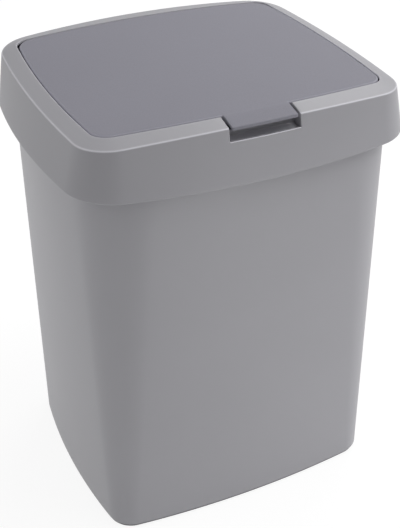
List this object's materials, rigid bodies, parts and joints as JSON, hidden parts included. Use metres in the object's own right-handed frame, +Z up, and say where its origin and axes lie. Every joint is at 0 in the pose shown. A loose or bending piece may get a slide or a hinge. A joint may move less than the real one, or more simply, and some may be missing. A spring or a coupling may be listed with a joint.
{
  "type": "push_top_bin",
  "caption": "Push top countertop bin: a tapered plastic bucket with a flared lid whose sprung flap opens when its front tab is pressed.",
  "frame": {"origin": "centre of the bounding box at the floor, where the foot ring rests", "axes": "+Z up, the front with the tab is -Y, and +X is to the right of someone who looks at the front"},
  "size_m": [0.216, 0.1892, 0.279],
  "materials": {
    "shell_grey": "smooth satin polypropylene",
    "flap_grey": "finely textured matte",
    "dark_acetal": "smooth moulded",
    "pale_acetal": "smooth moulded",
    "bright_steel": "drawn wire",
    "zinc_steel": "zinc plated"
  },
  "bodies": {
    "bucket_body": {"bucket": "shell_grey"},
    "lid_body": {"collar": "shell_grey", "seat_ring": "shell_grey", "hinge_rod": "bright_steel", "rod_clips": "zinc_steel", "lift_spring_left": "bright_steel", "lift_spring_right": "bright_steel", "latch_housing": "dark_acetal", "latch_pin": "bright_steel", "latch_spring": "bright_steel", "latch_screws": "zinc_steel"},
    "flap_body": {"flap": "flap_grey", "striker": "dark_acetal", "striker_screws": "zinc_steel"},
    "pawl_body": {"latch_pawl": "pale_acetal"}
  },
  "joints": [
    {"name": "lid_lift", "type": "slide", "parent": "bucket_body", "child": "lid_body", "axis": [0, 0, 1], "range_m": [0, 0.06]},
    {"name": "flap_hinge", "type": "hinge", "parent": "lid_body", "child": "flap_body", "pos_m": [0, 0.0686, 0.272], "axis": [-1, 0, 0], "range_deg": [-1.2, 87]},
    {"name": "latch_swing", "type": "hinge", "parent": "lid_body", "child": "pawl_body", "pos_m": [0, -0.064, 0.243], "axis": [-1, 0, 0], "range_deg": [0, 16], "stiffness_Nm_per_rad": 0.02, "springref_deg": -11.46, "deforming": ["latch_spring"]}
  ]
}
